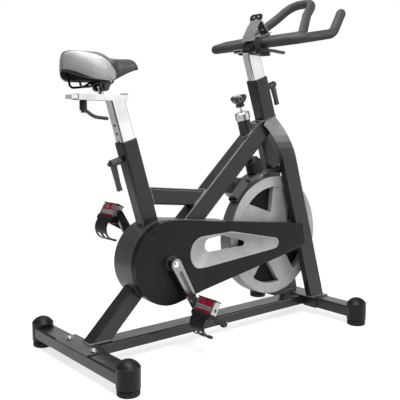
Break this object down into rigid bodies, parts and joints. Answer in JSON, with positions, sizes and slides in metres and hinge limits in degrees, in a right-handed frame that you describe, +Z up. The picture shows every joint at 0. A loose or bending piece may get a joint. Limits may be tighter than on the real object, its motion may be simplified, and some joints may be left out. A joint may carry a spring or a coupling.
{
  "type": "indoor exercise bike",
  "caption": "Indoor cycling bike: welded frame, belt-driven flywheel with push brake, sliding saddle and handlebar, cage pedals.",
  "frame": {"origin": "on the floor, under the middle of the bike from the saddle tail to the front feet and midway between left and right feet", "axes": "+X forward, from the saddle to the handlebar; +Y to the left of the rider; +Z up"},
  "size_m": [1.1094, 0.6068, 1.2348],
  "materials": {
    "frame_black": "satin powder coat",
    "case_black": "satin powder coat",
    "cover_black": "fine grained satin",
    "plastic_black": "satin moulded",
    "trim_grey": "satin moulded",
    "rubber_black": "matt",
    "zinc_steel": "zinc plated",
    "chrome": "polished",
    "dark_steel": "black zinc",
    "wheel_silver": "silver painted",
    "pulley_alloy": "turned",
    "pedal_alloy": "cast",
    "foam_black": "matt foam",
    "vinyl": "soft vinyl in two greys",
    "bracket_grey": "grey powder coat",
    "knob_black": "gloss with a grey cap"
  },
  "bodies": {
    "frame": {"rear_stabiliser": "frame_black", "front_stabiliser": "frame_black", "foot_caps": "plastic_black", "base_tube": "frame_black", "frame_plates": "frame_black", "frame_bolts": "zinc_steel", "rear_strut": "frame_black", "bottom_bracket": "frame_black", "bearings": "zinc_steel", "seat_tube": "frame_black", "post_sleeves": "plastic_black", "cross_tube": "frame_black", "diagonal_tube": "frame_black", "head_tube": "frame_black", "fork_leg_right": "frame_black", "fork_leg_left": "frame_black", "drum_shell": "case_black", "case_bridge": "case_black", "belt_cover": "cover_black", "cover_back": "case_black", "window_trim": "trim_grey", "crank_ring": "plastic_black", "drive_belt": "rubber_black", "brake_tube": "frame_black", "brake_collar": "pulley_alloy", "brake_pivot": "zinc_steel"},
    "flywheel": {"flywheel": "wheel_silver", "flywheel_axle": "zinc_steel", "wheel_pulley": "pulley_alloy"},
    "crank": {"crank_spindle": "zinc_steel", "drive_pulley": "pulley_alloy", "crank_right": "pulley_alloy", "crank_left": "pulley_alloy"},
    "pedal_right": {"pedal_right": "pedal_alloy", "toe_cage_right": "plastic_black", "toe_strap_right": "rubber_black"},
    "pedal_left": {"pedal_left": "pedal_alloy", "toe_cage_left": "plastic_black", "toe_strap_left": "rubber_black"},
    "seat_post": {"seat_post": "chrome"},
    "seat_slide": {"seat_slide": "chrome"},
    "saddle": {"saddle_clamp": "plastic_black", "saddle_wires": "dark_steel", "saddle": "vinyl"},
    "slide_lever": {"slide_lever": "plastic_black"},
    "seat_lever": {"seat_lever": "plastic_black"},
    "head_post": {"head_post": "chrome"},
    "handlebar": {"bar_carriage": "frame_black", "handlebar": "foam_black", "console_bracket": "bracket_grey"},
    "bar_lever": {"bar_lever": "plastic_black"},
    "head_lever": {"head_lever": "plastic_black"},
    "brake_arm": {"brake_arm": "dark_steel", "brake_pad": "rubber_black"},
    "brake_rod": {"brake_rod": "zinc_steel"},
    "brake_knob": {"brake_knob": "knob_black"},
    "pad_rear_right": {"pad_rear_right": "rubber_black"},
    "pad_rear_left": {"pad_rear_left": "rubber_black"},
    "pad_front_right": {"pad_front_right": "rubber_black"},
    "pad_front_left": {"pad_front_left": "rubber_black"}
  },
  "joints": [
    {"name": "flywheel_spin", "type": "hinge", "parent": "frame", "child": "flywheel", "pos_m": [0.31368, 0, 0.335], "axis": [0, 1, 0], "continuous": true},
    {"name": "crank_spin", "type": "hinge", "parent": "frame", "child": "crank", "pos_m": [-0.21932, 0, 0.306], "axis": [0, 1, 0], "continuous": true},
    {"name": "pedal_right_spin", "type": "hinge", "parent": "crank", "child": "pedal_right", "pos_m": [-0.1369, -0.159, 0.15732], "axis": [0, 1, 0], "continuous": true},
    {"name": "pedal_left_spin", "type": "hinge", "parent": "crank", "child": "pedal_left", "pos_m": [-0.30174, 0.159, 0.45469], "axis": [0, 1, 0], "continuous": true},
    {"name": "seat_height", "type": "slide", "parent": "frame", "child": "seat_post", "axis": [-0.284, 0, 0.9588], "range_m": [-0.0825, 0.055]},
    {"name": "seat_fore_aft", "type": "slide", "parent": "seat_post", "child": "seat_slide", "axis": [1, 0, 0], "range_m": [-0.04, 0.012]},
    {"name": "saddle_tilt", "type": "hinge", "parent": "seat_slide", "child": "saddle", "pos_m": [-0.42568, 0, 0.87247], "axis": [0, 1, 0], "range_deg": [-8, 8]},
    {"name": "slide_lever_turn", "type": "hinge", "parent": "seat_slide", "child": "slide_lever", "pos_m": [-0.48768, 0, 0.81447], "axis": [0, 0, 1], "range_deg": [-60, 60]},
    {"name": "seat_lever_turn", "type": "hinge", "parent": "frame", "child": "seat_lever", "pos_m": [-0.3227, 0, 0.65501], "axis": [-0.9588, 0, -0.284], "range_deg": [-60, 60]},
    {"name": "head_height", "type": "slide", "parent": "frame", "child": "head_post", "axis": [-0.3173, 0, 0.9483], "range_m": [-0.055, 0.0275]},
    {"name": "handlebar_fore_aft", "type": "slide", "parent": "head_post", "child": "handlebar", "axis": [1, 0, 0], "range_m": [-0.025, 0.01]},
    {"name": "bar_lever_turn", "type": "hinge", "parent": "handlebar", "child": "bar_lever", "pos_m": [0.18157, -0.064, 1.02244], "axis": [0, 0, 1], "range_deg": [-60, 0]},
    {"name": "head_lever_turn", "type": "hinge", "parent": "frame", "child": "head_lever", "pos_m": [0.25241, 0, 0.88242], "axis": [0.9483, 0, 0.3173], "range_deg": [-60, 60]},
    {"name": "brake_arm_swing", "type": "hinge", "parent": "frame", "child": "brake_arm", "pos_m": [0.36868, 0, 0.585], "axis": [0, -1, 0], "range_deg": [0, 0.95], "stiffness_Nm_per_rad": 260, "springref_deg": -2.29},
    {"name": "brake_push", "type": "slide", "parent": "frame", "child": "brake_rod", "axis": [0.3007, 0, -0.9537], "range_m": [0, 0.0025]},
    {"name": "brake_knob_turn", "type": "hinge", "parent": "brake_rod", "child": "brake_knob", "pos_m": [0.16768, 0, 0.79], "axis": [-0.3007, 0, 0.9537], "range_deg": [-360, 360]},
    {"name": "level_rear_right", "type": "slide", "parent": "frame", "child": "pad_rear_right", "axis": [0, 0, -1], "range_m": [0, 0.01]},
    {"name": "level_rear_left", "type": "slide", "parent": "frame", "child": "pad_rear_left", "axis": [0, 0, -1], "range_m": [0, 0.01]},
    {"name": "level_front_right", "type": "slide", "parent": "frame", "child": "pad_front_right", "axis": [0, 0, -1], "range_m": [0, 0.01]},
    {"name": "level_front_left", "type": "slide", "parent": "frame", "child": "pad_front_left", "axis": [0, 0, -1], "range_m": [0, 0.01]}
  ],
  "couplings": [
    {"joint": "crank_spin", "follows": "flywheel_spin", "ratio": 0.29091},
    {"joint": "brake_push", "follows": "brake_arm_swing", "m_per_rad": 0.1253}
  ]
}
